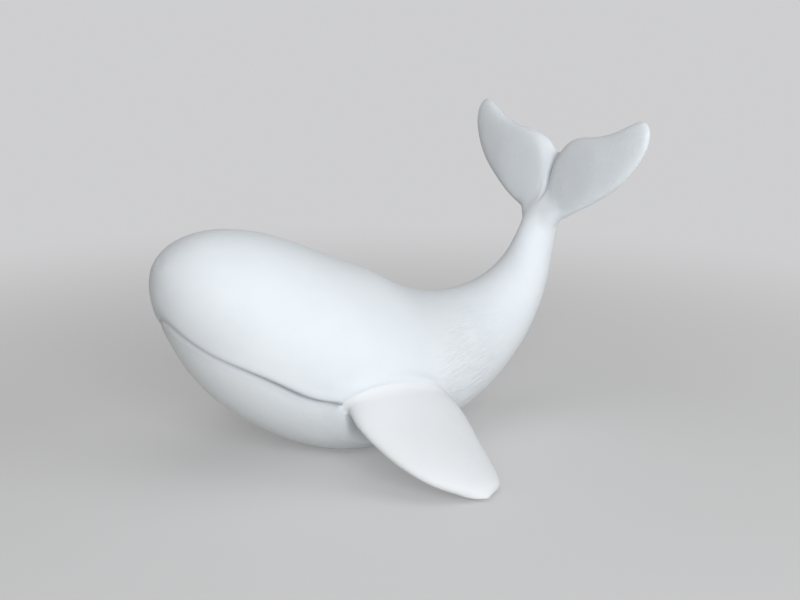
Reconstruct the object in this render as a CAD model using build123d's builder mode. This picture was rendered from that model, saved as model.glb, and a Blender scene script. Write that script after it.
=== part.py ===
from build123d import *

import os

# Whale figurine: a white casting that lies on its belly with its head and tail raised.
#
# The upper body is a shell from the brow to the tail stock. The lower jaw is a second
# shell that closes it from below. It sits a little inside the lip, which makes the mouth
# line, and its tongue locates it inside the upper body. Two solid side fins are dowelled
# to the flanks and lean out to the table, and the solid tail flukes stand on a steel rod
# in the end of the tail stock. A felt pad under the belly and a small bumper under each
# fin tip carry the figurine.
#
# Frame: millimetres, origin on the table at the middle of the belly pad, +Z up, -X towards
# the head, +X towards the tail and -Y towards the whale's left side.

# Body
body_length = 230.0
body_height = 110.0
body_depth = 100.0
body_width = 110.0
wall = 4.5

# Body stations from the brow to the stock under the flukes: place along the length and
# rise of the keel, as shares of body_length and body_height, then depth and width, as
# shares of body_depth and body_width
body_shares = (
    (-0.457, 0.975, 0.040, 0.055),
    (-0.443, 0.852, 0.260, 0.273),
    (-0.404, 0.688, 0.490, 0.509),
    (-0.339, 0.509, 0.692, 0.727),
    (-0.248, 0.272, 0.878, 0.909),
    (-0.143, 0.088, 0.960, 1.000),
    (-0.026, -0.020, 0.964, 1.009),
    (0.100, -0.002, 0.824, 0.909),
    (0.226, 0.083, 0.661, 0.727),
    (0.343, 0.226, 0.513, 0.509),
    (0.439, 0.438, 0.360, 0.355),
    (0.496, 0.656, 0.260, 0.236),
    (0.526, 0.843, 0.210, 0.182),
)
jaw_front_index = 1
hollow_front_index = 2
girth_index = 6
hollow_end_index = 10
seam_index = 11

# Mouth line and rear edge of the jaw, seen from the side: place along the length and
# height, as shares of body_length and body_height
mouth_shares = (
    (-0.482, 0.805),
    (-0.466, 0.747),
    (-0.440, 0.675),
    (-0.404, 0.608),
    (-0.350, 0.545),
    (-0.287, 0.475),
    (-0.220, 0.398),
    (-0.157, 0.363),
)
jaw_rear_shares = (
    (-0.157, 0.363),
    (-0.149, 0.300),
    (-0.137, 0.240),
    (-0.120, 0.172),
    (-0.093, 0.118),
    (-0.045, 0.084),
    (0.104, 0.064),
)
jaw_exit_share = (0.150, -0.050)
lip = 1.0
tongue = 4.0
tongue_rise = 3.0
tongue_gap = 0.4

# Side fins, from the root inside the flank to the tip: place outward, backward and
# downward, then chord and thickness, as shares of the sizes below
fin_reach = 69.0
fin_sweep = 23.2
fin_chord = 62.0
fin_thickness = 18.0
fin_lead = 5.0
fin_fall = 1.5
fin_pitch_share = 0.12
fin_root_share = 0.685
fin_tip_rise = 1.0
fin_shares = (
    (0.000, 0.000, 0.000, 0.742, 0.944),
    (0.174, 0.164, 0.175, 0.910, 1.000),
    (0.330, 0.302, 0.328, 1.000, 0.944),
    (0.522, 0.422, 0.515, 0.942, 0.833),
    (0.719, 0.603, 0.705, 0.774, 0.722),
    (0.864, 0.870, 0.860, 0.550, 0.589),
    (0.957, 1.040, 0.956, 0.355, 0.467),
    (1.000, 1.125, 1.000, 0.240, 0.330),
)

# Tail flukes, from the notch between the lobes to one tip: place outward as a share of
# half the span, lower and upper edge as shares of fluke_height, then thickness and place
# backward as shares of fluke_thickness
fluke_span = 150.0
fluke_height = 60.0
fluke_thickness = 15.6
fluke_lean = 11.0
fluke_rise = 5.0
fluke_shares = (
    (0.000, 0.033, 0.617, 0.641, 0.321),
    (0.107, 0.000, 0.700, 0.897, 0.256),
    (0.267, 0.050, 0.780, 1.000, 0.096),
    (0.427, 0.142, 0.805, 0.936, 0.000),
    (0.613, 0.270, 0.858, 0.808, 0.000),
    (0.787, 0.417, 0.953, 0.641, 0.000),
    (0.900, 0.563, 1.005, 0.474, 0.000),
    (0.967, 0.692, 0.980, 0.308, 0.000),
    (1.000, 0.808, 0.908, 0.128, 0.000),
)

# Stations where the stock fades out inside the flukes: place up and backward from the
# last body station, as shares of fluke_height and fluke_thickness, then depth and width,
# as shares of fluke_thickness and fluke_span
fade_shares = (
    (0.235, 0.125, 0.705, 0.194),
    (0.460, 0.227, 0.321, 0.081),
    (0.644, 0.300, 0.154, 0.026),
)

# Pins, plug and feet
dowel_diameter = 4.0
dowel_length = 20.0
dowel_spacing = 24.0
dowel_boss = 3.0
boss_floor = 2.0
rod_diameter = 5.0
rod_length = 36.0
pin_chamfer = 0.5
plug_diameter = 10.0
plug_length = 7.0
plug_head_diameter = 16.0
plug_head_thickness = 1.2
pad_thickness = 1.5
pad_margin = 3.0
bumper_diameter = 5.0
bumper_thickness = 1.2

# Clearances
glue_gap = 0.2
pin_gap = 0.1
overrun = 5.0


# Tail: the line up the middle of the flukes and the way back from it
fluke_axis = Vector(0, 0, 1).rotate(Axis.Y, fluke_lean)
fluke_back = Vector(1, 0, 0).rotate(Axis.Y, fluke_lean)
last_body_index = len(body_shares) - 1
last_index = last_body_index + len(fade_shares)


def station_centre(index):
    """Middle of one body station, on the middle plane."""
    if index > last_body_index:
        up, behind, _, _ = fade_shares[index - last_body_index - 1]
        offset = fluke_axis * (up * fluke_height) + fluke_back * (behind * fluke_thickness)
        return station_centre(last_body_index) + offset
    along, rise, depth, _ = body_shares[index]
    return Vector(along * body_length, 0, rise * body_height + depth * body_depth / 2)


def station_radii(index):
    """Half the width and half the depth of one body station."""
    if index > last_body_index:
        _, _, depth, width = fade_shares[index - last_body_index - 1]
        return width * fluke_span / 2, depth * fluke_thickness / 2
    _, _, depth, width = body_shares[index]
    return width * body_width / 2, depth * body_depth / 2


def station_plane(index):
    """Plane of one body station, square to the line of the body."""
    before = station_centre(max(index - 1, 0))
    after = station_centre(min(index + 1, last_index))
    return Plane(origin=station_centre(index), x_dir=(0, 1, 0), z_dir=after - before)


def body_form(inset, first, last):
    """Solid through the body stations, with its skin drawn in by the inset."""
    with BuildPart() as form:
        for index in range(first, last + 1):
            half_width, half_depth = station_radii(index)
            with BuildSketch(station_plane(index)):
                Ellipse(half_width - inset, half_depth - inset)
        loft()
    return form.part


def jaw_zone(shift):
    """Block below the mouth line and ahead of the jaw's rear edge, both moved by the shift."""

    def place(share):
        return share[0] * body_length + shift, share[1] * body_height + shift

    front = place(mouth_shares[0])
    corner = place(jaw_rear_shares[-1])
    foot = place(jaw_exit_share)
    with BuildPart() as zone:
        with BuildSketch(Plane.XZ):
            with BuildLine():
                Spline([place(share) for share in mouth_shares])
                Spline([place(share) for share in jaw_rear_shares])
                Polyline(
                    corner,
                    foot,
                    (front[0] - overrun, foot[1]),
                    (front[0] - overrun, front[1]),
                    front,
                )
            make_face()
        extrude(amount=body_width, both=True)
    return zone.part


# Fin root: inside the left flank at the girth station, and the fin's middle line from there
girth_half_width, _ = station_radii(girth_index)
fin_root_x = station_centre(girth_index).X - fin_lead
fin_root_y = fin_root_share * girth_half_width
fin_root_z = station_centre(girth_index).Z - fin_fall
fin_drop = fin_root_z - bumper_thickness - fin_tip_rise


def fin_centre(index):
    """Middle of one section of the left fin."""
    out, back, down, _, _ = fin_shares[index]
    return Vector(
        fin_root_x + back * fin_sweep,
        -fin_root_y - out * fin_reach,
        fin_root_z - down * fin_drop,
    )


def fin_plane(index):
    """Plane of one section of the left fin, square to the fin's middle line."""
    before = fin_centre(max(index - 1, 0))
    after = fin_centre(min(index + 1, len(fin_shares) - 1))
    return Plane(origin=fin_centre(index), x_dir=(1, 0, -fin_pitch_share), z_dir=after - before)


# Fin dowels: the plane where they cross from the flank into the left fin
fin_root_plane = fin_plane(0)
flank_distance = (girth_half_width - fin_root_y) / abs(fin_root_plane.z_dir.Y)
dowel_plane = fin_root_plane.offset(flank_distance)

# Tail: the plane of the seam under the flukes, and the foot of the flukes' middle line
seam_plane = station_plane(seam_index)
fluke_root = station_centre(last_body_index) + fluke_axis * fluke_rise


with BuildPart() as body_skin:
    add(body_form(0, 0, last_index))

with BuildPart() as left_fin_dowels:
    with BuildSketch(dowel_plane.offset(-dowel_length / 2)):
        with GridLocations(dowel_spacing, 0, 2, 1):
            Circle(dowel_diameter / 2)
    extrude(amount=dowel_length)
    dowel_ends = left_fin_dowels.edges().filter_by(GeomType.CIRCLE)
    chamfer(dowel_ends, length=pin_chamfer)

with BuildPart() as left_sockets:
    with BuildSketch(dowel_plane.offset(-dowel_length / 2 - pin_gap)):
        with GridLocations(dowel_spacing, 0, 2, 1):
            Circle(dowel_diameter / 2 + pin_gap)
    extrude(amount=dowel_length + 2 * pin_gap)

with BuildPart() as left_bosses:
    with BuildSketch(dowel_plane.offset(-dowel_length / 2 - boss_floor)):
        with GridLocations(dowel_spacing, 0, 2, 1):
            Circle(dowel_diameter / 2 + dowel_boss)
    extrude(amount=dowel_length)

# Hollow of the upper body, with the bosses for the dowels left standing in it
with BuildPart() as hollow:
    add(body_form(wall, hollow_front_index, hollow_end_index))
    add(left_bosses.part, mode=Mode.SUBTRACT)
    add(mirror(left_bosses.part, about=Plane.XZ, mode=Mode.PRIVATE), mode=Mode.SUBTRACT)

with BuildPart() as upper_body:
    add(body_skin.part)
    split(bisect_by=seam_plane.offset(-glue_gap / 2), keep=Keep.BOTTOM)
    add(hollow.part, mode=Mode.SUBTRACT)
    add(jaw_zone(0), mode=Mode.SUBTRACT)
    add(left_sockets.part, mode=Mode.SUBTRACT)
    add(mirror(left_sockets.part, about=Plane.XZ, mode=Mode.PRIVATE), mode=Mode.SUBTRACT)
    with BuildSketch(seam_plane.offset(-rod_length / 2 - pin_gap)):
        Circle(rod_diameter / 2 + pin_gap)
    extrude(amount=rod_length, mode=Mode.SUBTRACT)

# Tongue of the jaw: a flange that rises inside the upper body's wall
with BuildPart() as jaw_tongue:
    add(body_form(wall + tongue_gap, hollow_front_index, hollow_end_index))
    split(bisect_by=station_plane(hollow_front_index).offset(tongue_rise), keep=Keep.TOP)
    add(jaw_zone(tongue_rise), mode=Mode.INTERSECT)

with BuildPart() as lower_jaw:
    add(body_form(lip, jaw_front_index, hollow_end_index))
    add(jaw_zone(-glue_gap), mode=Mode.INTERSECT)
    add(jaw_tongue.part)
    add(body_form(wall + tongue_gap + tongue, hollow_front_index, hollow_end_index), mode=Mode.SUBTRACT)
    with BuildSketch(Plane.XY.offset(pad_thickness)):
        Rectangle(2 * body_length, 2 * body_width)
    extrude(amount=-body_height, mode=Mode.SUBTRACT)
    belly_flat = lower_jaw.faces().filter_by(Axis.Z).sort_by(Axis.Z)[0].bounding_box()
    with BuildSketch(Plane.XY.offset(pad_thickness)):
        Circle(plug_head_diameter / 2 + pin_gap)
    extrude(amount=plug_head_thickness, mode=Mode.SUBTRACT)
    with BuildSketch(Plane.XY.offset(pad_thickness)):
        Circle(plug_diameter / 2 + pin_gap)
    extrude(amount=plug_length + overrun, mode=Mode.SUBTRACT)

with BuildPart() as drain_plug:
    with BuildSketch(Plane.XY.offset(pad_thickness)):
        Circle(plug_head_diameter / 2)
    extrude(amount=plug_head_thickness - pin_gap)
    with BuildSketch(Plane.XY.offset(pad_thickness)):
        Circle(plug_diameter / 2)
    extrude(amount=plug_length)

with BuildPart() as belly_pad:
    with BuildSketch():
        Ellipse(
            min(-belly_flat.min.X, belly_flat.max.X) - pad_margin,
            belly_flat.max.Y - pad_margin,
        )
    extrude(amount=pad_thickness)

# Left fin: its root is cut to the flank, its tip is ground flat over the bumper
with BuildPart() as left_fin:
    for index in range(len(fin_shares)):
        _, _, _, chord, thickness = fin_shares[index]
        with BuildSketch(fin_plane(index)):
            Ellipse(chord * fin_chord / 2, thickness * fin_thickness / 2)
    loft()
    add(body_form(-glue_gap, 0, last_index), mode=Mode.SUBTRACT)
    with BuildSketch(Plane.XY.offset(bumper_thickness)):
        Rectangle(2 * body_length, 2 * (fin_root_y + fin_reach + overrun))
    extrude(amount=-body_height, mode=Mode.SUBTRACT)
    tip_flat = left_fin.faces().filter_by(Axis.Z).sort_by(Axis.Z)[0]
    add(left_sockets.part, mode=Mode.SUBTRACT)

with BuildPart() as left_fin_bumper:
    with BuildSketch():
        with Locations((tip_flat.center().X, tip_flat.center().Y)):
            Circle(bumper_diameter / 2)
    extrude(amount=bumper_thickness)

with BuildPart() as right_fin:
    mirror(left_fin.part, about=Plane.XZ)

with BuildPart() as right_fin_bumper:
    mirror(left_fin_bumper.part, about=Plane.XZ)

with BuildPart() as right_fin_dowels:
    mirror(left_fin_dowels.part, about=Plane.XZ)

# Tail flukes: both lobes in one loft from tip to tip
with BuildPart() as fluke_lobes:
    right_shares = [(-out, *rest) for out, *rest in fluke_shares[:0:-1]]
    for out, low, high, thick, back in right_shares + list(fluke_shares):
        middle = (low + high) / 2 * fluke_height
        place = fluke_axis * middle + fluke_back * (back * fluke_thickness)
        centre = fluke_root + place - Vector(0, out * fluke_span / 2, 0)
        with BuildSketch(Plane(origin=centre, x_dir=fluke_axis, z_dir=(0, -1, 0))):
            Ellipse((high - low) * fluke_height / 2, thick * fluke_thickness / 2)
    loft()

with BuildPart() as tail_fluke:
    add(body_skin.part)
    split(bisect_by=seam_plane.offset(glue_gap / 2), keep=Keep.TOP)
    add(fluke_lobes.part)
    with BuildSketch(seam_plane):
        Circle(rod_diameter / 2 + pin_gap)
    extrude(amount=rod_length / 2 + pin_gap, mode=Mode.SUBTRACT)

with BuildPart() as tail_rod:
    with BuildSketch(seam_plane.offset(-rod_length / 2)):
        Circle(rod_diameter / 2)
    extrude(amount=rod_length)
    rod_ends = tail_rod.edges().filter_by(GeomType.CIRCLE)
    chamfer(rod_ends, length=pin_chamfer)

upper_body.part.label = "upper_body"
lower_jaw.part.label = "lower_jaw"
left_fin.part.label = "left_fin"
right_fin.part.label = "right_fin"
left_fin_dowels.part.label = "left_fin_dowels"
right_fin_dowels.part.label = "right_fin_dowels"
tail_fluke.part.label = "tail_fluke"
tail_rod.part.label = "tail_rod"
drain_plug.part.label = "drain_plug"
belly_pad.part.label = "belly_pad"
left_fin_bumper.part.label = "left_fin_bumper"
right_fin_bumper.part.label = "right_fin_bumper"

os.makedirs("parts", exist_ok=True)
export_step(upper_body.part, "parts/upper_body.step")
export_step(lower_jaw.part, "parts/lower_jaw.step")
export_step(left_fin.part, "parts/left_fin.step")
export_step(right_fin.part, "parts/right_fin.step")
export_step(left_fin_dowels.part, "parts/left_fin_dowels.step")
export_step(right_fin_dowels.part, "parts/right_fin_dowels.step")
export_step(tail_fluke.part, "parts/tail_fluke.step")
export_step(tail_rod.part, "parts/tail_rod.step")
export_step(drain_plug.part, "parts/drain_plug.step")
export_step(belly_pad.part, "parts/belly_pad.step")
export_step(left_fin_bumper.part, "parts/left_fin_bumper.step")
export_step(right_fin_bumper.part, "parts/right_fin_bumper.step")
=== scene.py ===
import math

import bmesh
import bpy
import numpy as np
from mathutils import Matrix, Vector
from mathutils.bvhtree import BVHTree


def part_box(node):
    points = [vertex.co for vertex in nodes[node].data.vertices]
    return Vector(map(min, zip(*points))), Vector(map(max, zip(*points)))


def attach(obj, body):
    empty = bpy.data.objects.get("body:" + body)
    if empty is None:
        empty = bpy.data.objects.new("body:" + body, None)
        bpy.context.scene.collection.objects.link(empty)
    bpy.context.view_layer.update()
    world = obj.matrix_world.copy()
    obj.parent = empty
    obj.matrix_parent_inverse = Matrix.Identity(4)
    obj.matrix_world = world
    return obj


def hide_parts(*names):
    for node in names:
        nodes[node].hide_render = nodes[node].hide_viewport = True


# Whale figurine, matte white. The shaping works in millimetres in the frame's axes: -X is towards the
# head, -Y towards the whale's left. The pieces are turned into metres when they are made.
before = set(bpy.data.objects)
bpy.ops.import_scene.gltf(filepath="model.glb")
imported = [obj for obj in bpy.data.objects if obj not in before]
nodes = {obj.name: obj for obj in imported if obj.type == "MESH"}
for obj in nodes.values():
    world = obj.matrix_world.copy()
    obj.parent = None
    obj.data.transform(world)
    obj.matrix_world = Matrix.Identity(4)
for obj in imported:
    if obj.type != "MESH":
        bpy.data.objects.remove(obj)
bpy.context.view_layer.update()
MM = 0.001
SKIN = ("upper_body", "lower_jaw", "left_fin", "right_fin", "tail_fluke")
UPPER_BODY, LOWER_JAW, LEFT_FIN, RIGHT_FIN, TAIL_FLUKE = range(len(SKIN))

# Nets: corners closer than WELD are one, VOXEL is the edge of the even net over the castings, and
# the rounds of EVEN_OUT smooth its steps away without shrinking it
WELD = 0.002
VOXEL = 0.95
EVEN_OUT = [0.6, -0.62] * 6
FAR_OFF = 99.0

# Camera, turned from a look along +Y and raised above the table
CAMERA_TURN, CAMERA_RISE = math.radians(32), math.radians(14)
CAMERA_AIM = Vector((29.0, 0.0, 72.2)) * MM
CAMERA_DISTANCE = 0.745


def placed(name, data):
    """An object that holds the data, put into the scene."""
    made = bpy.data.objects.new(name, data)
    bpy.context.scene.collection.objects.link(made)
    return made


camera_data = bpy.data.cameras.new("camera")
camera_data.lens = 63.0
camera_data.sensor_width = 36.0
camera_data.clip_start = 0.01
camera_data.clip_end = 20.0
to_camera = Vector((
    -math.sin(CAMERA_TURN) * math.cos(CAMERA_RISE),
    -math.cos(CAMERA_TURN) * math.cos(CAMERA_RISE),
    math.sin(CAMERA_RISE)))
camera = placed("camera", camera_data)
camera.rotation_mode = "QUATERNION"
camera.location = CAMERA_AIM + to_camera * CAMERA_DISTANCE
camera.rotation_quaternion = (-to_camera).to_track_quat("-Z", "Y")
bpy.context.scene.camera = camera


# Mesh helpers
def welded(node):
    """Points in millimetres, normals and triangles of a CAD node, its split corners joined."""
    work = bmesh.new()
    work.from_mesh(nodes[node].data)
    bmesh.ops.scale(work, vec=(1 / MM, 1 / MM, 1 / MM), verts=work.verts)
    bmesh.ops.remove_doubles(work, verts=work.verts, dist=WELD)
    bmesh.ops.triangulate(work, faces=work.faces)
    work.normal_update()
    points = np.array([v.co for v in work.verts])
    normals = np.array([v.normal for v in work.verts])
    faces = [tuple(v.index for v in f.verts) for f in work.faces]
    work.free()
    return points, normals, faces


def tree_of(points, faces):
    return BVHTree.FromPolygons([tuple(p) for p in points], faces)


def smooth_step(value, low, high):
    """Zero up to low, one from high on, and a smooth rise between them: how far a zone has begun."""
    t = np.clip((value - low) / (high - low), 0, 1)
    return t * t * (3 - 2 * t)


def smooth_fall(value, low, high):
    """One up to low, zero from high on: how far a zone still holds."""
    return 1 - smooth_step(value, low, high)


def bell(distance, width):
    return np.exp(-(distance / width) ** 2)


def edges_of(mesh):
    pairs = np.empty(len(mesh.edges) * 2, int)
    mesh.edges.foreach_get("vertices", pairs)
    return pairs.reshape(-1, 2)


def points_of(mesh):
    co = np.empty(len(mesh.vertices) * 3)
    mesh.vertices.foreach_get("co", co)
    return co.reshape(-1, 3)


def put_points(mesh, points):
    mesh.vertices.foreach_set("co", points.ravel())
    mesh.update()


def normals_of(mesh):
    n = np.empty(len(mesh.vertices) * 3, np.float32)
    mesh.vertices.foreach_get("normal", n)
    return n.reshape(-1, 3).astype(float)


def array_of(work):
    """Points of a bmesh, numbered in that order."""
    work.verts.index_update()
    return np.array([v.co for v in work.verts])


def relax(points, pairs, rounds, weight, normals=None):
    """Moves each point towards the middle of its neighbours; with normals only outward, which fills folds."""
    touched = np.zeros(len(points), bool)
    part = pairs[(weight[pairs] > 0.001).any(axis=1)]
    touched[part] = True
    used = np.nonzero(touched)[0]
    local = np.searchsorted(used, part)
    a, b = local[:, 0], local[:, 1]
    count = len(used)
    degree = np.maximum(np.bincount(a, minlength=count) + np.bincount(b, minlength=count), 1)
    here, share = points[used], weight[used, None]
    for step in rounds:
        pull = np.empty_like(here)
        for axis in range(3):
            total = np.bincount(a, weights=here[b, axis], minlength=count)
            total = total + np.bincount(b, weights=here[a, axis], minlength=count)
            pull[:, axis] = total / degree - here[:, axis]
        if normals is not None:
            way = normals[used]
            pull = way * np.maximum((pull * way).sum(1), 0)[:, None]
        here = here + step * share * pull
    points[used] = here
    return points


def curve_through(stops, count):
    """Points along a smooth line through the stops (a natural cubic over chord length)."""
    stops = np.array(stops, float)
    chord = np.r_[0, np.cumsum(np.linalg.norm(np.diff(stops, axis=0), axis=1))]
    n = len(stops)
    h = np.diff(chord)
    matrix = np.zeros((n, n))
    matrix[0, 0] = matrix[-1, -1] = 1
    right = np.zeros((n, stops.shape[1]))
    for i in range(1, n - 1):
        matrix[i, i - 1:i + 2] = h[i - 1], 2 * (h[i - 1] + h[i]), h[i]
        right[i] = 6 * ((stops[i + 1] - stops[i]) / h[i] - (stops[i] - stops[i - 1]) / h[i - 1])
    bend = np.linalg.solve(matrix, right)
    at = np.linspace(0, chord[-1], count)
    k = np.clip(np.searchsorted(chord, at) - 1, 0, n - 2)
    p, q, w = (at - chord[k])[:, None], (chord[k + 1] - at)[:, None], h[k][:, None]
    curved = bend[k] * q ** 3 / (6 * w) + bend[k + 1] * p ** 3 / (6 * w)
    return curved + (stops[k] / w - bend[k] * w / 6) * q + (stops[k + 1] / w - bend[k + 1] * w / 6) * p


def nearest_on(points, line):
    """Distance from each point to a line of points, and the share along it."""
    best = np.full(len(points), 1e9)
    along = np.zeros(len(points))
    for i in range(len(line) - 1):
        start, run = line[i], line[i + 1] - line[i]
        t = np.clip(((points - start) @ run) / (run @ run), 0, 1)
        d = np.linalg.norm(points - start - t[:, None] * run, axis=1)
        closer = d < best
        best[closer] = d[closer]
        along[closer] = (i + t[closer]) / (len(line) - 1)
    return best, along


def inside(points, polygon):
    """True where a point lies inside a closed polygon."""
    hit = np.zeros(len(points), bool)
    for i in range(len(polygon)):
        (x1, z1), (x2, z2) = polygon[i], polygon[(i + 1) % len(polygon)]
        if z1 == z2:
            continue
        crosses = (points[:, 1] > min(z1, z2)) & (points[:, 1] <= max(z1, z2))
        hit ^= crosses & (points[:, 0] < x1 + (points[:, 1] - z1) * (x2 - x1) / (z2 - z1))
    return hit


def distance_into(points, line, zone):
    """Distance from a line, seen from the side: above zero inside the zone, below zero outside it."""
    distance, _ = nearest_on(points, line)
    return np.where(inside(points, zone), distance, -distance)


def cut_along(work, value):
    """Splits edges and faces of a bmesh where the value at its points changes sign."""
    value = list(value)
    zero = {i for i, v in enumerate(value) if v == 0}
    for edge in list(work.edges):
        a, b = edge.verts
        va, vb = value[a.index], value[b.index]
        if va * vb < 0:
            _, new = bmesh.utils.edge_split(edge, a, va / (va - vb))
            new.index = len(value)
            value.append(0.0)
            zero.add(new.index)
    for face in list(work.faces):
        on = [v for v in face.verts if v.index in zero]
        if len(on) == 2 and not any(on[1] in e.verts for e in on[0].link_edges):
            bmesh.utils.face_split(face, on[0], on[1])


def outer_net(points, faces, size):
    """Even net of that size over the outside of closed forms that touch or overlap, as a bmesh."""
    mesh = bpy.data.meshes.new("joined")
    mesh.from_pydata([tuple(p) for p in points], [], faces)
    source = placed("joined", mesh)
    remesh = source.modifiers.new("remesh", "REMESH")
    remesh.mode = "VOXEL"
    remesh.voxel_size = size
    bpy.context.view_layer.update()
    graph = bpy.context.evaluated_depsgraph_get()
    net = bpy.data.meshes.new_from_object(source.evaluated_get(graph))
    bpy.data.objects.remove(source)
    work = bmesh.new()
    work.from_mesh(net)
    bpy.data.meshes.remove(net)
    # The nets round the closed hollows inside don't join the outer one, and go
    start = min(work.verts, key=lambda v: v.co.x)
    seen = {start}
    stack = [start]
    while stack:
        for edge in stack.pop().link_edges:
            for other in edge.verts:
                if other not in seen:
                    seen.add(other)
                    stack.append(other)
    bmesh.ops.delete(work, geom=[v for v in work.verts if v not in seen], context="VERTS")
    return work


# One skin over all castings. The jaw is brought flush with the upper body by LIP, and set in again
# when the pieces are made
LIP = 1.0
outer = {name: welded(name) for name in SKIN + ("drain_plug",)}
pad_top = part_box("belly_pad")[1].z / MM
jaw_points, jaw_normals, jaw_faces = outer["lower_jaw"]
jaw_points = jaw_points + jaw_normals * LIP
jaw_points[:, 2] = np.maximum(jaw_points[:, 2], pad_top)

# Frame of the flukes: root on the middle of the stock, the line up the middle, and the way back
FLUKE_LEAN = math.radians(11)
fluke_root = np.array([122.0, 0.0, 108.1])
fluke_axis = np.array([math.sin(FLUKE_LEAN), 0.0, math.cos(FLUKE_LEAN)])
fluke_back = np.array([math.cos(FLUKE_LEAN), 0.0, -math.sin(FLUKE_LEAN)])


def fluke_point(rise, depth, side):
    return fluke_root + fluke_axis * rise + fluke_back * depth + np.array([0.0, side, 0.0])


def fluke_place(points):
    """Rise, depth and distance from the middle plane in the frame of the flukes."""
    rel = points - fluke_root
    return rel @ fluke_axis, rel @ fluke_back, np.abs(points[:, 1])


# The balls' chain starts in the stock, bends and runs out along the lobe's lower edge: rise, depth,
# distance from the middle plane and radius
WEB_START = np.array([-11.0, -0.9, 3.0, 6.0])
WEB_BEND = np.array([1.6, -1.4, 3.9, 6.2])
WEB_STOP = np.array([11.8, 1.0, 22.0, 3.6])
WEB_BALLS = 24


def web_balls():
    """Chains of balls that round the corners where the tail stock opens into the lobes."""
    ball = bmesh.new()
    bmesh.ops.create_icosphere(ball, subdivisions=3, radius=1.0)
    unit = np.array([v.co for v in ball.verts])
    faces = [tuple(v.index for v in f.verts) for f in ball.faces]
    ball.free()
    made = []
    for side in (-1, 1):
        for t in np.linspace(0, 1, WEB_BALLS):
            rise, depth, away, radius = WEB_START * (1 - t) ** 2 + WEB_BEND * 2 * t * (1 - t) + WEB_STOP * t * t
            made.append((unit * radius + fluke_point(rise, depth, side * away), faces))
    return made


forms = [(outer[name][0], outer[name][2]) for name in outer if name != "lower_jaw"]
forms += [(jaw_points, jaw_faces)] + web_balls()
all_points, all_faces = [], []
for points, faces in forms:
    all_faces += [tuple(i + len(all_points) for i in f) for f in faces]
    all_points += [tuple(p) for p in points]
work = outer_net(all_points, all_faces, VOXEL)
skin = bpy.data.meshes.new("skin")

# Mouth line, jaw's rear edge and upper edge of the fin root, a little above the fold, as x and z
BEFORE_NOSE, UNDER_TABLE = -125.0, -5.5
mouth = curve_through([
    (-110.9, 88.5), (-107.2, 82.2), (-101.2, 74.2), (-92.9, 66.9),
    (-80.5, 60.0), (-66.0, 52.2), (-50.6, 43.8), (-36.1, 39.9)], 90)
jaw_rear = curve_through([
    (-36.1, 39.9), (-34.3, 33.0), (-31.5, 26.4), (-27.6, 18.9), (-21.4, 13.0), (-10.4, 9.2), (23.9, 7.0)], 60)
jaw_edge = np.vstack([[(BEFORE_NOSE, 88.5)], mouth, jaw_rear[1:], [(34.5, UNDER_TABLE)]])
jaw_zone = np.vstack([jaw_edge, [(BEFORE_NOSE, UNDER_TABLE)]])
root_edge = curve_through([
    (-34.2, 34.5), (-35.9, 38.8), (-30.4, 44.0), (-21.2, 46.7),
    (-8.9, 47.2), (3.7, 44.2), (14.6, 39.0), (21.0, 33.0)], 70)
root_zone = np.vstack([root_edge, [(15, 31), (5, 36), (-10, 39), (-25, 36.5), (-31, 33.5)]])


def mouth_value(points):
    """Distance from the mouth line and the jaw's rear edge, seen from the side: below zero in the jaw."""
    value = np.full(len(points), FAR_OFF)
    near = (points[:, 0] < 45) & (points[:, 2] < 110)
    value[near] = -distance_into(points[near][:, [0, 2]], jaw_edge, jaw_zone)
    return value


# A finer net along the mouth line and in the valley between the lobes
net = array_of(work)
rise, depth, aside = fluke_place(net)
at_mouth = (np.abs(mouth_value(net)) < 4.5) & (net[:, 0] < -20)
in_valley = (net[:, 2] > 90) & (rise > -4) & (rise < 40) & (aside < 5.5) & (depth < 3)
fine = at_mouth | in_valley
band = [e for e in work.edges if all(fine[v.index] for v in e.verts)]
bmesh.ops.subdivide_edges(work, edges=band, cuts=1, use_grid_fill=True)
work.to_mesh(skin)
skin.update()
for vert, place in zip(work.verts, relax(points_of(skin), edges_of(skin), EVEN_OUT, np.ones(len(skin.vertices)))):
    vert.co = place

# Lines that part the castings
FIN_REACH = 8.0
OFF_FIN = -9.0
fin_trees = [tree_of(outer[name][0], outer[name][2]) for name in ("left_fin", "right_fin")]
body_trees = [tree_of(outer["upper_body"][0], outer["upper_body"][2]), tree_of(jaw_points, jaw_faces)]
seam_point = (np.array(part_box("tail_rod")[0]) + np.array(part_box("tail_rod")[1])) / 2 / MM
seam_way = np.array([20.0, 0.0, 37.0])
seam_way /= np.linalg.norm(seam_way)


def fold_value(points):
    """Above zero on a fin, below zero on the flank, zero in the fold between them."""
    value = np.full(len(points), OFF_FIN)
    near = (np.abs(points[:, 1]) > 30) & (points[:, 2] < 75) & (np.abs(points[:, 0]) < 60)
    for i in np.nonzero(near)[0]:
        place = points[i].tolist()
        to_fin = fin_trees[0 if place[1] < 0 else 1].find_nearest(place)[3]
        if to_fin < FIN_REACH:
            value[i] = min(tree.find_nearest(place)[3] for tree in body_trees) - to_fin
    return value


def crease_value(points):
    """Above zero on a fin and on the strip of flank that runs out into it."""
    value = fold_value(points)
    near = (np.abs(points[:, 1]) > 44) & (points[:, 2] > 26) & (points[:, 2] < 58) & (np.abs(points[:, 0] + 8) < 42)
    value[near] = np.maximum(value[near], distance_into(points[near][:, [0, 2]], root_edge, root_zone))
    return value


def seam_value(points):
    """Above zero on the flukes' side of the seam in the tail stock."""
    return np.where(points[:, 0] > 60, (points - seam_point) @ seam_way, -FAR_OFF)


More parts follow.
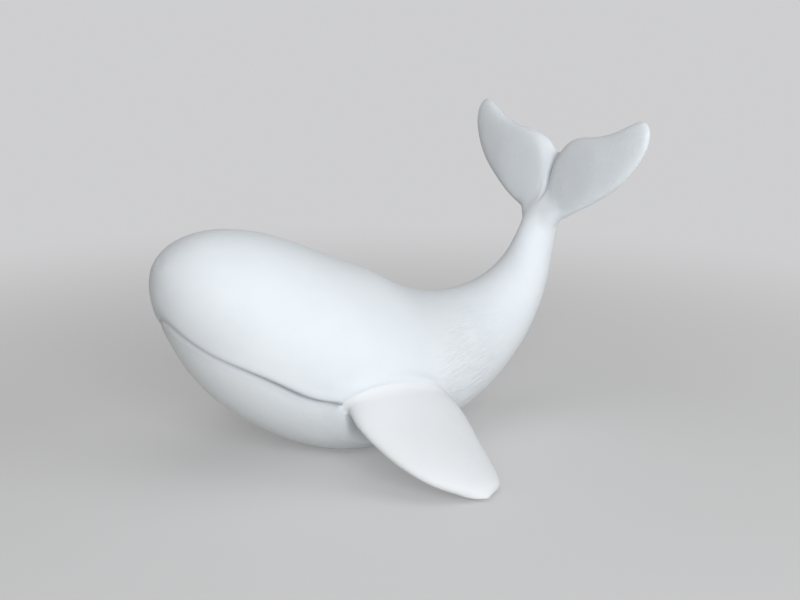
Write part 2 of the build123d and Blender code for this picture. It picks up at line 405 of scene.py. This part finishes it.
# Points closer to a line than the least are taken as on it, so that the cut makes no slivers
for function, least in ((mouth_value, 0.12), (crease_value, 0.15), (seam_value, 0.15)):
    value = function(array_of(work))
    value[np.abs(value) < least] = 0
    cut_along(work, value)
work.normal_update()
work.to_mesh(skin)
work.free()
skin.update()
points = points_of(skin)
pairs = edges_of(skin)
mouth_at = mouth_value(points)
fold_at = fold_value(points)
crease_at = crease_value(points)
seam_at = seam_value(points)


# Forms of the whole skin
def way_of(points):
    """Outward normals of the skin with its points in these places."""
    put_points(skin, points)
    return normals_of(skin)


def fill_folds(points, passes, weight):
    """Round fillets in the folds of the skin, where the weight is above zero."""
    for _ in range(passes):
        points = relax(points, pairs, [0.8] * 8, weight, way_of(points))
    return points


# Round fillets where the tail stock opens into the lobes and where the fins leave the flanks, and
# softer fin tips
FOLD_WIDTH = 8.9
rise, depth, aside = fluke_place(points)
at_tail = points[:, 0] > 90
corner = at_tail * smooth_step(rise, -16, -8) * smooth_fall(rise, 16, 24) * smooth_fall(aside, 24, 34)
points = fill_folds(points, 5, corner)
points = relax(points, pairs, [0.5] * 6, corner)
at_fold = bell(fold_at, 5.0) * (np.abs(fold_at) < FOLD_WIDTH) * smooth_step(points[:, 2], 22, 34)
points = fill_folds(points, 12, at_fold)
fin_tip = smooth_step(np.abs(points[:, 1]), 98, 106) * smooth_step(points[:, 2], 2.5, 5.0)
points = relax(points, pairs, [0.5] * 24, fin_tip)

# The lobes' front is nearly flat inside rounded shoulders, and a narrow crease runs up to the notch.
# The tables give how far the front stands out by the distance from the middle plane, and the crease's
# depth and its painted shade by the rise
LOBE_LEVEL = (8, 42), (2.0, 5.0)
CREASE_DEPTH = (7, 14, 20, 28, 35, 41), (0.0, 0.9, 1.9, 2.6, 2.4, 1.2)
CREASE_PAINTED_SHADE = (4, 14, 21, 27, 36, 42), (0.0, 0.3, 0.7, 1.0, 0.8, 0.4)
rise, depth, aside = fluke_place(points)
front = smooth_step(-(way_of(points) @ fluke_back), 0.05, 0.45) * at_tail
level = np.interp(aside, *LOBE_LEVEL)
forward = np.minimum(depth, 0)
spread = front * smooth_step(rise + 0.6 * aside, 8, 20)
points = points + fluke_back * ((level * np.tanh(forward / level) - forward) * spread)[:, None]
points = relax(points, pairs, [0.6] * 10, front * smooth_step(rise, -6, 2))
rise, depth, aside = fluke_place(points)
groove = np.interp(rise, *CREASE_DEPTH) * bell(aside, 1.4)
points = points + fluke_back * (groove * front * (depth < 5))[:, None]
# Painted shade: the crease between the lobes is darkened in colour, most where the near lobe shades it
tail_shade = 0.8 * bell(aside, 1.5) * front * np.interp(rise, *CREASE_PAINTED_SHADE)

# Raised rim on the flank above each fin root, and a shallow crease between them
RIM_HEIGHT, RIM_WIDTH = 1.9, 3.0
rim_line = curve_through([
    (-36.0, -51.6, 40.6), (-31.4, -53.8, 46.2), (-22.5, -55.2, 49.0), (-11.0, -55.8, 49.8),
    (-1.0, -54.9, 48.2), (9.7, -52.7, 44.6), (18.0, -50.0, 39.2), (27.0, -47.0, 32.0)], 60)
normals = way_of(points)
folded = points.copy()
folded[:, 1] = -np.abs(folded[:, 1])
distance, along = nearest_on(folded, rim_line)
rim = RIM_HEIGHT * bell(distance, RIM_WIDTH) * smooth_step(along, 0.0, 0.2) * smooth_fall(along, 0.75, 1.0)
rim -= 0.5 * bell(crease_at, 0.9) * smooth_step(points[:, 2], 34, 40) * (np.abs(points[:, 1]) > 40)
points = points + normals * rim[:, None]

# Behind the jaw's rear edge, which stands up in a soft ridge, the flank turns inward under the fin
HOLLOW_DEPTH = 4.6
RIDGE_HEIGHT, RIDGE_WIDTH = 0.6, 4.0
normals = way_of(points)
off_fin = crease_at <= 0
hollow = HOLLOW_DEPTH * smooth_step(mouth_at, 0, 6.5) * smooth_fall(mouth_at, 14, 30)
hollow *= smooth_fall(points[:, 0], -16, 14)
hollow *= smooth_step(points[:, 2], 4, 13) * smooth_fall(points[:, 2], 33, 41) * (points[:, 0] > -37) * off_fin
rear_distance, _ = nearest_on(points[:, [0, 2]], jaw_rear)
ridge = RIDGE_HEIGHT * bell(rear_distance, RIDGE_WIDTH) * smooth_step(points[:, 2], 8, 16)
ridge *= (points[:, 0] < 30) * off_fin
ridge *= smooth_step(np.linalg.norm(points[:, [0, 2]] - mouth[-1], axis=1), 0, 6)
points = points + normals * (ridge - hollow)[:, None]
normals = way_of(points)

# Pieces: faces of the skin as runs of corners, and the casting that each face belongs to
starts = np.empty(len(skin.polygons), np.int32)
skin.polygons.foreach_get("loop_start", starts)
sizes = np.empty(len(skin.polygons), np.int32)
skin.polygons.foreach_get("loop_total", sizes)
corners = np.empty(len(skin.loops), np.int32)
skin.loops.foreach_get("vertex_index", corners)


def face_mean(value):
    return np.add.reduceat(value[corners], starts) / sizes


fin = np.where(face_mean(points[:, 1]) < 0, LEFT_FIN, RIGHT_FIN)
jaw_or_body = np.where(face_mean(mouth_at) < 0, LOWER_JAW, UPPER_BODY)
owner = np.where(face_mean(crease_at) > 0, fin, np.where(face_mean(seam_at) > 0, TAIL_FLUKE, jaw_or_body))

# Under the lip the jaw is set in, with a narrow groove; the lip's edge is rounded. Both fade towards
# the nose and end at the mouth line's rear end
from_mouth, mouth_along = nearest_on(points[:, [0, 2]], mouth)
off_nose = smooth_step(points[:, 0], -104, -62)
before_end = 1 - smooth_step(mouth_along, 0.97, 1.0) * smooth_step(from_mouth, 0, 2)
set_in = LIP * smooth_step(rear_distance, 0.0, 10.0) * (0.1 + 0.9 * off_nose)
under_lip = 0.3 * bell(from_mouth, 4.5) + (0.5 + 1.9 * off_nose) * bell(from_mouth, 1.3)
under_lip = under_lip * (0.2 + 0.8 * off_nose) * before_end * smooth_step(rear_distance, 0.0, 9.0)
lip_shift = 0.25 * bell(from_mouth - 3.0, 2.2) * off_nose - 0.5 * bell(from_mouth, 0.6)
lip_shift = lip_shift * (0.4 + 0.6 * off_nose) * before_end * smooth_step(rear_distance, 0.0, 3.0)
moved = [points] * len(SKIN)
moved[UPPER_BODY] = points + normals * lip_shift[:, None]
moved[LOWER_JAW] = points - normals * (set_in + under_lip)[:, None]

# Painted shade: the casting's colour is darkened along the mouth groove, in the crease between the lobes
# and in the hollow behind the jaw, where shade falls
mouth_shade_strength = (0.35 + 0.65 * off_nose) * before_end
painted_shade = [tail_shade] * len(SKIN)
painted_shade[UPPER_BODY] = tail_shade + 0.5 * bell(from_mouth, 1.4) * mouth_shade_strength + 0.06 * hollow
painted_shade[LOWER_JAW] = (0.7 * bell(from_mouth, 1.7) + 0.35 * bell(from_mouth, 3.2)) * mouth_shade_strength

# Shading normals are shared where two pieces meet, but not across the open mouth line: there the
# jaw's points have numbers of their own
OPEN_GAP = 0.002
apart = np.linalg.norm(moved[LOWER_JAW] - moved[UPPER_BODY], axis=1) > OPEN_GAP
numbers = [np.arange(len(points))] * len(SKIN)
numbers[LOWER_JAW] = numbers[UPPER_BODY] + len(points) * apart
facing = np.zeros((2 * len(points), 3))
for index in range(len(SKIN)):
    for size in np.unique(sizes):
        first = starts[(owner == index) & (sizes == size)]
        ring = corners[first[:, None] + np.arange(size)]
        place = moved[index][ring]
        area = np.zeros((len(ring), 3))
        for k in range(1, size - 1):
            area += np.cross(place[:, k] - place[:, 0], place[:, k + 1] - place[:, 0])
        for k in range(size):
            number = numbers[index][ring[:, k]]
            for axis in range(3):
                facing[:, axis] += np.bincount(number, weights=area[:, axis], minlength=len(facing))


def unit_rows(rows):
    return rows / np.maximum(np.linalg.norm(rows, axis=1), 1e-12)[:, None]


facing = unit_rows(facing)


def starts_of(counts):
    """Where each run of that many corners starts."""
    return np.r_[0, np.cumsum(counts)[:-1]]


def open_edges(local, ahead, count):
    """Pairs of points that are an edge of one face only."""
    codes = local.astype(np.int64) * count + ahead
    lone = ~np.isin(ahead.astype(np.int64) * count + local, codes)
    return np.stack([local[lone], ahead[lone]], 1)


def caps_over(border, co):
    """The points with one more in the middle of each open end, and the triangles that close the ends."""
    following = dict(map(tuple, border.tolist()))
    caps = []
    while following:
        first = next(iter(following))
        loop = [first]
        while following.get(loop[-1]) not in (None, first):
            loop.append(following.pop(loop[-1]))
        following.pop(loop[-1], None)
        co = np.vstack([co, co[loop].mean(0)])
        caps += [(b, a, len(co) - 1) for a, b in zip(loop, loop[1:] + loop[:1])]
    return co, np.array(caps)


def make_piece(index, name, wall):
    """A closed piece: the skin of one casting, with a wall of that thickness or a cap over its open ends."""
    mine = np.nonzero(owner == index)[0]
    counts = sizes[mine]
    begin = starts_of(counts)
    ring = corners[np.repeat(starts[mine] - begin, counts) + np.arange(counts.sum())]
    used, local = np.unique(ring, return_inverse=True)
    co = moved[index][used]
    own = facing[numbers[index][used]]
    follow = np.arange(len(local)) + 1
    follow[begin + counts - 1] = begin
    count = len(used)
    border = open_edges(local, local[follow], count)
    loops, faces, bends = [local], [counts], [own[local]]
    if wall:
        # The inner side is the same faces turned round, and a ring of quads closes the border
        turned_round = np.repeat(begin + counts - 1, counts) - (np.arange(len(local)) - np.repeat(begin, counts))
        loops.append(local[turned_round] + count)
        faces.append(counts)
        bends.append(-own[local[turned_round]])
        co = np.vstack([co, co - own * wall])
        closing = np.stack([border[:, 1], border[:, 0], border[:, 0] + count, border[:, 1] + count], 1)
    else:
        co, closing = caps_over(border, co)
    across = unit_rows(np.cross(co[closing[:, 1]] - co[closing[:, 0]], co[closing[:, 2]] - co[closing[:, 1]]))
    loops.append(closing.ravel())
    faces.append(np.full(len(closing), closing.shape[1]))
    bends.append(np.repeat(across, closing.shape[1], axis=0))
    loops, faces, bends = np.concatenate(loops), np.concatenate(faces), np.concatenate(bends)
    mesh = bpy.data.meshes.new(name)
    mesh.vertices.add(len(co))
    mesh.vertices.foreach_set("co", (co * MM).ravel())
    mesh.loops.add(len(loops))
    mesh.loops.foreach_set("vertex_index", loops.astype(np.int32))
    mesh.polygons.add(len(faces))
    mesh.polygons.foreach_set("loop_start", starts_of(faces).astype(np.int32))
    mesh.polygons.foreach_set("use_smooth", np.ones(len(faces), bool))
    mesh.update(calc_edges=True)
    # Painted shade of each point, kept as an attribute for the material
    painted_shade_values = np.zeros(len(co))
    painted_shade_values[:count] = painted_shade[index][used]
    mesh.attributes.new("painted_shade", "FLOAT", "POINT").data.foreach_set("value", painted_shade_values)
    mesh.validate()
    mesh.normals_split_custom_set(bends.tolist())
    return placed(name, mesh)


# Materials
def node(tree, kind, **values):
    """A shader node; a value goes to the socket of that name, or else to the node's own setting."""
    made = tree.nodes.new(kind)
    for key, value in values.items():
        socket = key.replace("_", " ")
        if socket in made.inputs:
            made.inputs[socket].default_value = value
        else:
            setattr(made, key, value)
    return made


def material(name, colour, roughness, specular=0.3):
    made = bpy.data.materials.new(name)
    made.use_nodes = True
    shader = made.node_tree.nodes["Principled BSDF"]
    shader.inputs["Base Color"].default_value = (*colour, 1)
    shader.inputs["Roughness"].default_value = roughness
    shader.inputs["Specular IOR Level"].default_value = specular
    return made, made.node_tree, shader


def noise(tree, place, scale, detail=3.0, roughness=0.5):
    made = node(tree, "ShaderNodeTexNoise", Scale=scale, Detail=detail, Roughness=roughness)
    tree.links.new(place, made.inputs["Vector"])
    return made.outputs["Fac"]


def ramp(tree, value, low, high, to_low=0.0, to_high=1.0):
    made = node(tree, "ShaderNodeMapRange", interpolation_type="SMOOTHSTEP")
    for socket, limit in (("From Min", low), ("From Max", high), ("To Min", to_low), ("To Max", to_high)):
        made.inputs[socket].default_value = limit
    tree.links.new(value, made.inputs["Value"])
    return made.outputs["Result"]


def maths(tree, operation, first, second):
    made = node(tree, "ShaderNodeMath", operation=operation)
    for socket, value in zip(made.inputs, (first, second)):
        tree.links.new(value, socket)
    return made.outputs[0]


def blend(tree, share, first, second, way="MIX"):
    """The first colour, mixed with the second or multiplied by it as far as the share says."""
    made = node(tree, "ShaderNodeMix", data_type="RGBA", blend_type=way)
    tree.links.new(share, made.inputs["Factor"])
    for name, colour in (("A", first), ("B", second)):
        if isinstance(colour, tuple):
            made.inputs[name].default_value = (*colour, 1)
        else:
            tree.links.new(colour, made.inputs[name])
    return made.outputs["Result"]


def relief(tree, height, distance, strength, under=None):
    made = node(tree, "ShaderNodeBump", Strength=strength, Distance=distance)
    tree.links.new(height, made.inputs["Height"])
    if under is not None:
        tree.links.new(under, made.inputs["Normal"])
    return made.outputs["Normal"]


def near(tree, place, centre, radius, soft):
    """One inside a ball round the centre, in millimetres, and zero outside it."""
    apart = node(tree, "ShaderNodeVectorMath", operation="DISTANCE")
    tree.links.new(place, apart.inputs[0])
    apart.inputs[1].default_value = [c * MM for c in centre]
    return ramp(tree, apart.outputs["Value"], radius * MM, (radius + soft) * MM, 1.0, 0.0)


def turned(tree, place, angles, scale):
    """Place in axes turned by the angles and then stretched."""
    made = node(tree, "ShaderNodeMapping", vector_type="TEXTURE", Rotation=angles)
    tree.links.new(place, made.inputs["Vector"])
    stretched = node(tree, "ShaderNodeMapping", Scale=scale)
    tree.links.new(made.outputs["Vector"], stretched.inputs["Vector"])
    return stretched.outputs["Vector"]


# Middle of the swirl's rings, in metres and a little under the skin, and of the patch, in millimetres
RINGS_MIDDLE = (0.0545, -0.0075, 0.070)
SWIRL_MIDDLE = (54.5, -7.5, 72.5)


def swirl(tree, place, under):
    """Small rubbed rings on the saddle before the tail, faint."""
    rings = node(
        tree, "ShaderNodeTexWave", wave_type="RINGS", rings_direction="SPHERICAL",
        Scale=190.0, Distortion=5.0, Detail=2.0, Detail_Scale=1.4)
    from_middle = node(tree, "ShaderNodeVectorMath", operation="SUBTRACT")
    tree.links.new(place, from_middle.inputs[0])
    from_middle.inputs[1].default_value = RINGS_MIDDLE
    tree.links.new(from_middle.outputs[0], rings.inputs["Vector"])
    patch = near(tree, place, SWIRL_MIDDLE, radius=4.5, soft=5.0)
    field = maths(tree, "MULTIPLY", rings.outputs["Fac"], patch)
    return relief(tree, field, distance=0.0003, strength=0.35, under=under)


# Grey that the base colour is multiplied towards as painted shade
PAINTED_SHADE_COLOUR = (0.40, 0.42, 0.45)
STREAK_SCALE = (80.0, 800.0, 800.0)


def casting_white(name, light, dark, marks=(), swirled=False):
    """Matte white casting, rubbed down by hand: faint cloudy tone, fine grain, soft dents and tool marks, and
    painted shade in the grooves.
    """
    made, tree, shader = material(name, light, roughness=0.6, specular=0.25)
    place = node(tree, "ShaderNodeTexCoord").outputs["Object"]
    # Painted shade: the base colour is darkened as far as the painted shade attribute says, in grooves and creases
    painted_shade_share = node(tree, "ShaderNodeAttribute", attribute_name="painted_shade").outputs["Fac"]
    cloud = ramp(tree, noise(tree, place, scale=28.0, detail=4.0, roughness=0.6), low=0.35, high=0.7)
    tone = blend(tree, painted_shade_share, blend(tree, cloud, light, dark), PAINTED_SHADE_COLOUR, "MULTIPLY")
    tree.links.new(tone, shader.inputs["Base Color"])
    gloss = ramp(tree, noise(tree, place, scale=160.0), low=0.3, high=0.7, to_low=0.52, to_high=0.68)
    tree.links.new(gloss, shader.inputs["Roughness"])
    # Broad waves, then dents in patches low on the flank and up on the tail, then the grain
    waves = noise(tree, place, scale=75.0, detail=2.0, roughness=0.4)
    bumped = relief(tree, waves, distance=0.0009, strength=0.22)
    dents = ramp(tree, noise(tree, place, scale=260.0, detail=2.0), low=0.52, high=0.7)
    patch = ramp(tree, noise(tree, place, scale=22.0, detail=1.0), low=0.45, high=0.6)
    height = node(tree, "ShaderNodeSeparateXYZ")
    tree.links.new(place, height.inputs[0])
    low_down = ramp(tree, height.outputs["Z"], low=0.030, high=0.048, to_low=1.0, to_high=0.0)
    high_up = ramp(tree, height.outputs["Z"], low=0.105, high=0.125)
    patch = maths(tree, "MULTIPLY", patch, maths(tree, "MAXIMUM", low_down, high_up))
    bumped = relief(tree, maths(tree, "MULTIPLY", dents, patch), distance=0.0004, strength=0.20, under=bumped)
    grain = noise(tree, place, scale=1500.0, detail=2.0, roughness=0.6)
    bumped = relief(tree, grain, distance=0.00012, strength=0.3, under=bumped)
    for centre, radius, soft, angles, strength in marks:
        brushed = noise(tree, turned(tree, place, angles, STREAK_SCALE), scale=1.0, detail=2.0, roughness=0.6)
        streak = ramp(tree, brushed, low=0.42, high=0.7)
        field = maths(tree, "MULTIPLY", streak, near(tree, place, centre, radius, soft))
        bumped = relief(tree, field, 0.0006, strength, bumped)
    if swirled:
        bumped = swirl(tree, place, bumped)
    tree.links.new(bumped, shader.inputs["Normal"])
    return made


def streaks(centre, radius, soft, tilt, slant, strength):
    """The same brushed patch on both flanks: centre on the right one, angles in degrees."""
    x, y, z = centre
    return [
        ((x, side * y, z), radius, soft, (0.0, math.radians(tilt), side * math.radians(slant)), strength)
        for side in (-1, 1)]


FLANK_STREAKS = streaks((44, 42, 43), 14, 20, -8, -19, 0.5) + streaks((68, 26, 62), 8, 16, -3, -30, 0.25)
body_white = casting_white("body_white", (0.80, 0.835, 0.87), (0.775, 0.815, 0.855), FLANK_STREAKS, swirled=True)
fin_white = casting_white("fin_white", (0.80, 0.81, 0.83), (0.78, 0.795, 0.82))


def plain_finish(name, light, dark, roughness, grain, distance, strength, metal=0.0):
    """Steel, rubber or felt: two close tones in fine grain, with relief to match."""
    made, tree, shader = material(name, light, roughness)
    shader.inputs["Metallic"].default_value = metal
    place = node(tree, "ShaderNodeTexCoord").outputs["Object"]
    if metal:
        # Drawn bar: the grain runs along the tail rod
        place = turned(tree, place, (0, math.radians(-61), 0), (0.04, 1.0, 1.0))
    spread = noise(tree, place, grain, 4.0, 0.65)
    tree.links.new(blend(tree, ramp(tree, spread, 0.3, 0.7), light, dark), shader.inputs["Base Color"])
    gloss = ramp(tree, spread, 0.2, 0.8, roughness - 0.06, roughness + 0.06)
    tree.links.new(gloss, shader.inputs["Roughness"])
    tree.links.new(relief(tree, spread, distance, strength), shader.inputs["Normal"])
    return made


steel = plain_finish("pin_steel", (0.58, 0.58, 0.60), (0.48, 0.48, 0.50), 0.32, 2500.0, 0.00005, 0.3, 1.0)
rubber = plain_finish("soft_rubber", (0.72, 0.72, 0.70), (0.66, 0.66, 0.64), 0.62, 900.0, 0.0001, 0.3)
felt = plain_finish("pad_felt", (0.70, 0.70, 0.68), (0.58, 0.58, 0.56), 0.92, 1600.0, 0.0005, 0.8)
felt.node_tree.nodes["Principled BSDF"].inputs["Sheen Weight"].default_value = 0.35

# CAD meshes that stay as they are, in their finish
for name, finish in (
        ("tail_rod", steel), ("left_fin_dowels", steel), ("right_fin_dowels", steel), ("drain_plug", rubber)):
    nodes[name].data.materials.clear()
    nodes[name].data.materials.append(finish)

# Castings: name, CAD node, finish, slot and wall, or no wall for the solid ones
WALL = 3.5
for index, (name, replaced, finish, slot, wall) in enumerate((
        ("body_shell", "upper_body", body_white, "body_white", WALL),
        ("jaw_shell", "lower_jaw", body_white, "body_white", WALL),
        ("left_fin_form", "left_fin", fin_white, "fin_white", 0),
        ("right_fin_form", "right_fin", fin_white, "fin_white", 0),
        ("fluke_form", "tail_fluke", body_white, "body_white", 0))):
    piece = make_piece(index, name, wall)
    piece.data.materials.append(finish)
    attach(piece, "root")
    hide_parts(replaced)

# Side of a disc with soft edges: how far in, as a share of the edge, and how far up
DISC_SIDE = ((0.9, 0.0), (0.2, 0.10), (0.0, 0.35), (0.0, 0.68), (0.25, 0.90), (1.0, 1.0))


def disc(name, replaced, edge, around, finish, ragged):
    """Felt pad or bumper: a low disc in the node's box, its rim a little ragged, in millimetres."""
    low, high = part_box(replaced)
    centre, half = (low + high) / 2, (high - low) / 2
    work = bmesh.new()
    rows = []
    for inset, level in DISC_SIDE:
        row = []
        for k in range(around):
            turn = 2 * math.pi * k / around
            wave = ragged * (math.sin(17 * turn) + math.sin(41 * turn + level * 5) + math.sin(73 * turn)) / 3
            reach = [h - (edge * inset + ragged - wave) * MM for h in half[:2]]
            row.append(work.verts.new((
                centre.x + reach[0] * math.cos(turn),
                centre.y + reach[1] * math.sin(turn),
                low.z + level * (high.z - low.z))))
        rows.append(row)
    for lower, upper in zip(rows, rows[1:]):
        for k in range(around):
            n = (k + 1) % around
            work.faces.new((lower[k], lower[n], upper[n], upper[k]))
    work.faces.new(rows[-1])
    work.faces.new(rows[0][::-1])
    mesh = bpy.data.meshes.new(name)
    work.to_mesh(mesh)
    work.free()
    for face in mesh.polygons:
        face.use_smooth = len(face.vertices) == 4
    mesh.materials.append(finish)
    piece = placed(name, mesh)
    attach(piece, "root")
    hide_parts(replaced)


disc("felt_pad", "belly_pad", 0.45, 360, felt, 0.10)
disc("left_bumper", "left_fin_bumper", 0.5, 72, rubber, 0.0)
disc("right_bumper", "right_fin_bumper", 0.5, 72, rubber, 0.0)

# Floor and background: one pale tone to the eye, while the light that bounces off them stays low
BACKGROUND = (0.62, 0.62, 0.63, 1)
FLOOR_COLOUR = (0.78, 0.78, 0.785)
FLOOR_BOUNCE = (0.72, 0.695, 0.66, 1)
FILL_COLOUR, FILL_STRENGTH = (1.0, 0.96, 0.90, 1), 0.24
FLOOR_REACH = 30
# The floor turns into the background between these distances in metres from the middle
FADE_FROM, FADE_TO = 0.16, 0.62
FADE_LEAST = 0.3


def seen(tree):
    """One for rays from the camera, through glass or off a gloss."""
    path = node(tree, "ShaderNodeLightPath")
    first = maths(tree, "MAXIMUM", path.outputs["Is Camera Ray"], path.outputs["Is Glossy Ray"])
    return maths(tree, "MAXIMUM", first, path.outputs["Is Transmission Ray"])


def shader_mix(tree, share, first, second):
    made = node(tree, "ShaderNodeMixShader")
    for socket, value in zip(made.inputs, (share, first.outputs[0], second.outputs[0])):
        tree.links.new(value, socket)
    return made


floor_corners = [(x * FLOOR_REACH, y * FLOOR_REACH, 0) for x, y in ((-1, -1), (1, -1), (1, 1), (-1, 1))]
floor_mesh = bpy.data.meshes.new("floor")
floor_mesh.from_pydata(floor_corners, [], [(0, 1, 2, 3)])
floor = placed("floor", floor_mesh)
floor_white, tree, shader = material("floor", FLOOR_COLOUR, 0.85)
bounce = node(tree, "ShaderNodeBsdfDiffuse", Color=FLOOR_BOUNCE)
pale = node(tree, "ShaderNodeEmission", Color=BACKGROUND, Strength=1.0)
apart = node(tree, "ShaderNodeVectorMath", operation="LENGTH")
tree.links.new(node(tree, "ShaderNodeTexCoord").outputs["Object"], apart.inputs[0])
fade = shader_mix(tree, ramp(tree, apart.outputs["Value"], FADE_FROM, FADE_TO, FADE_LEAST, 1.0), shader, pale)
whole = shader_mix(tree, seen(tree), bounce, fade)
tree.links.new(whole.outputs[0], tree.nodes["Material Output"].inputs["Surface"])
floor.data.materials.append(floor_white)

world = bpy.data.worlds.new("world")
bpy.context.scene.world = world
world.use_nodes = True
tree = world.node_tree
tree.nodes.clear()
fill = node(tree, "ShaderNodeBackground", Color=FILL_COLOUR, Strength=FILL_STRENGTH)
pale = node(tree, "ShaderNodeBackground", Color=BACKGROUND, Strength=1.0)
whole = shader_mix(tree, seen(tree), fill, pale)
tree.links.new(whole.outputs[0], node(tree, "ShaderNodeOutputWorld").inputs[0])

# Broad soft light from before the figurine, and weaker ones from close above and from the right:
# name, place, size, power and colour. They all point at the figurine's middle
LAMPS = (
    ("key", (-0.45, -1.2, 0.45), 0.9, 11.8, (0.93, 0.97, 1.0)),
    ("crown", (-0.02, -0.02, 0.54), 0.45, 0.47, (0.97, 0.98, 1.0)),
    ("side", (0.9, -1.0, 0.5), 0.9, 3.8, (0.95, 0.98, 1.0)),
)
LIT_POINT = Vector((0, 0, 0.07))
for name, place, size, power, colour in LAMPS:
    data = bpy.data.lights.new(name, "AREA")
    data.shape = "DISK"
    data.size = size
    data.energy = power
    data.color = colour
    lamp = placed(name, data)
    lamp.location = place
    lamp.rotation_mode = "QUATERNION"
    lamp.rotation_quaternion = (LIT_POINT - Vector(place)).to_track_quat("-Z", "Y")

bpy.context.scene.view_settings.view_transform = "Standard"
